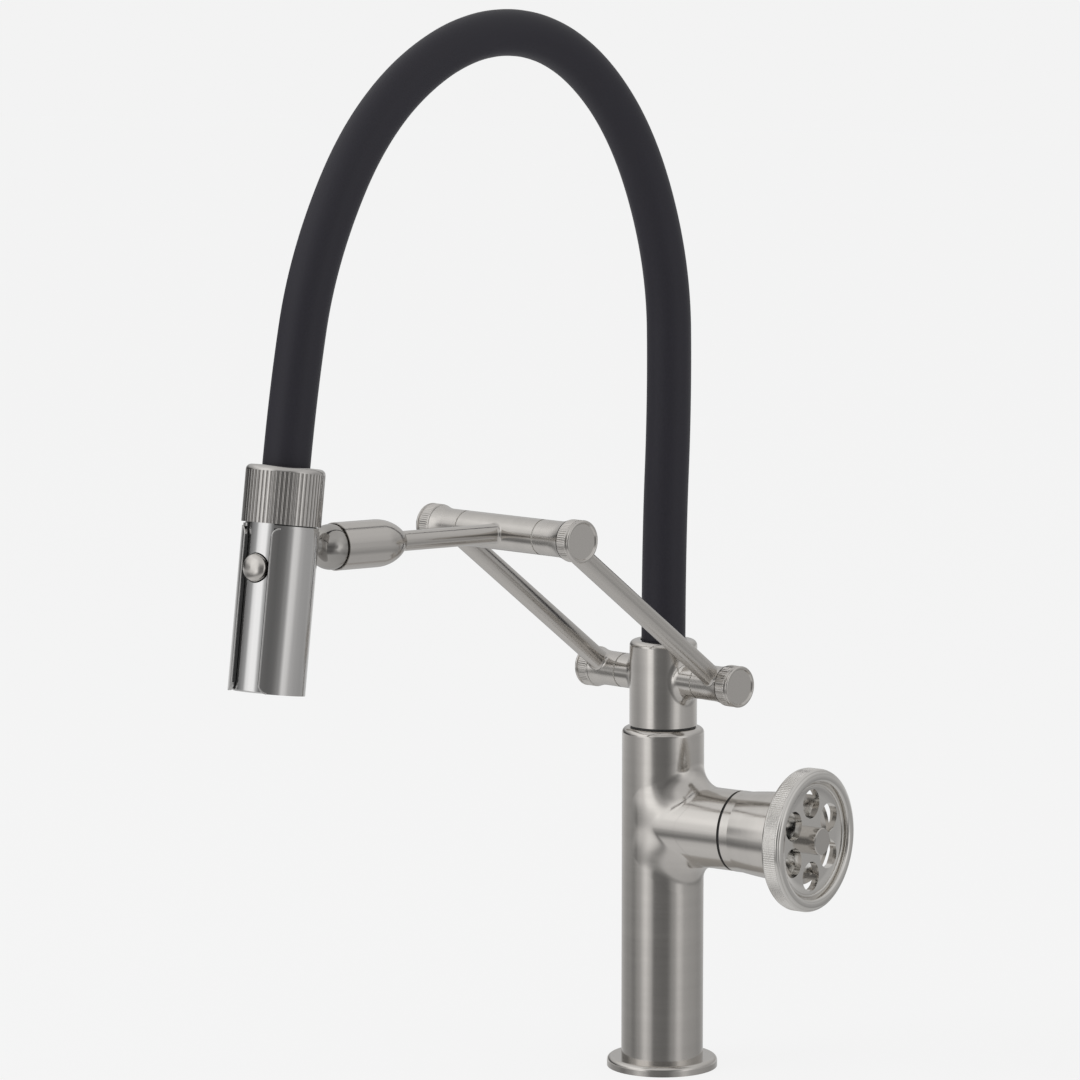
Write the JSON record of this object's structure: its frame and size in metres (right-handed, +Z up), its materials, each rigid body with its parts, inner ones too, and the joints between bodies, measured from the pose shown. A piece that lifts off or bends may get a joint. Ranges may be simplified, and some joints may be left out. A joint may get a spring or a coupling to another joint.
{
  "type": "single lever kitchen mixer",
  "caption": "Deck kitchen mixer with a handwheel lever, a free hose arch, a jointed bridge arm and a pull-out hand spray in an open dock.",
  "frame": {"origin": "centre of the column where its foot meets the deck", "axes": "+Z up along the column, +X along the handwheel's axis away from the column, -Y towards the spray; the spout stands swung 9.4 degrees clockwise from -Y, as pictured"},
  "size_m": [0.1659, 0.3146, 0.5271],
  "materials": {
    "steel": "satin brushed",
    "polished": "polished",
    "brass": "machined",
    "copper_tube": "drawn tube",
    "ceramic": "lapped",
    "white_polymer": "moulded",
    "black_polymer": "moulded",
    "magnet": "plated",
    "grey_rubber": "soft",
    "aerator_polymer": "moulded",
    "seal_rubber": "matte",
    "hose_rubber": "matte"
  },
  "bodies": {
    "base": {"deck_flange": "steel", "deck_seal": "seal_rubber", "column_body": "steel", "swivel_screw": "steel", "base_insert": "brass", "supply_tubes": "copper_tube", "valve_block": "brass", "cartridge_housing": "white_polymer", "fixed_disc": "ceramic", "cartridge_nut": "brass", "trim_ring": "black_polymer", "swivel_glide": "black_polymer"},
    "handle": {"moving_disc": "ceramic", "cartridge_stem": "steel", "handle_neck": "steel", "handle_screw": "steel", "handwheel": "steel", "wheel_hub": "steel"},
    "swivel": {"swivel_body": "steel", "swivel_rings": "seal_rubber", "hose_tail": "brass", "hose_ferrule": "steel", "rubber_hose": "hose_rubber", "lower_axles": "steel", "lower_caps": "steel", "lower_washers": "white_polymer"},
    "arms": {"bridge_arm_left": "steel", "bridge_arm_right": "steel", "elbow_axle": "steel", "elbow_caps": "steel", "elbow_washers": "white_polymer"},
    "forearm": {"forearm_bar": "steel", "forearm_bushes": "white_polymer", "socket_cup": "steel", "socket_magnet": "magnet"},
    "seat": {"ball_seat": "white_polymer"},
    "ball": {"dock_ball": "steel"},
    "dock": {"dock_sleeve": "steel", "dock_liner": "black_polymer"},
    "spray": {"wand_body": "polished", "wand_collar": "steel", "spray_core": "black_polymer", "hose_nut": "brass", "wand_sleeve": "steel", "spray_face": "grey_rubber", "aerator": "aerator_polymer", "button_spring": "steel"},
    "button": {"spray_button": "steel"}
  },
  "joints": [
    {"name": "swivel_turn", "type": "hinge", "parent": "base", "child": "swivel", "pos_m": [0, 0, 0.19], "axis": [0, 0, 1], "continuous": true},
    {"name": "arm_lift", "type": "hinge", "parent": "swivel", "child": "arms", "pos_m": [0, 0, 0.1976], "axis": [0.9866, -0.1633, 0], "range_deg": [-25, 30], "deforming": ["rubber_hose"]},
    {"name": "forearm_fold", "type": "hinge", "parent": "arms", "child": "forearm", "pos_m": [-0.01775, -0.10723, 0.27817], "axis": [0.9866, -0.1633, 0], "range_deg": [-35, 40], "deforming": ["rubber_hose"]},
    {"name": "ball_roll", "type": "hinge", "parent": "forearm", "child": "seat", "pos_m": [-0.03606, -0.2178, 0.28072], "axis": [-0.1633, -0.9863, 0.0227], "range_deg": [-45, 45], "deforming": ["rubber_hose"]},
    {"name": "ball_tilt", "type": "hinge", "parent": "seat", "child": "ball", "pos_m": [-0.03606, -0.2178, 0.28072], "axis": [1, 0, 0], "range_deg": [-35, 35], "deforming": ["rubber_hose"]},
    {"name": "ball_twist", "type": "hinge", "parent": "ball", "child": "dock", "pos_m": [-0.03606, -0.2178, 0.28072], "axis": [0, 0.989, -0.1478], "range_deg": [-45, 45], "deforming": ["rubber_hose"]},
    {"name": "spray_lift", "type": "slide", "parent": "dock", "child": "spray", "axis": [0, 0.1478, 0.989], "range_m": [0, 0.075], "deforming": ["rubber_hose"]},
    {"name": "button_press", "type": "slide", "parent": "spray", "child": "button", "axis": [0, 0.989, -0.1478], "range_m": [0, 0.002], "stiffness_N_per_m": 400, "springref_m": -0.003, "deforming": ["button_spring"]},
    {"name": "handle_turn", "type": "hinge", "parent": "base", "child": "handle", "pos_m": [0.06, 0, 0.1243], "axis": [1, 0, 0], "range_deg": [0, 100]}
  ]
}
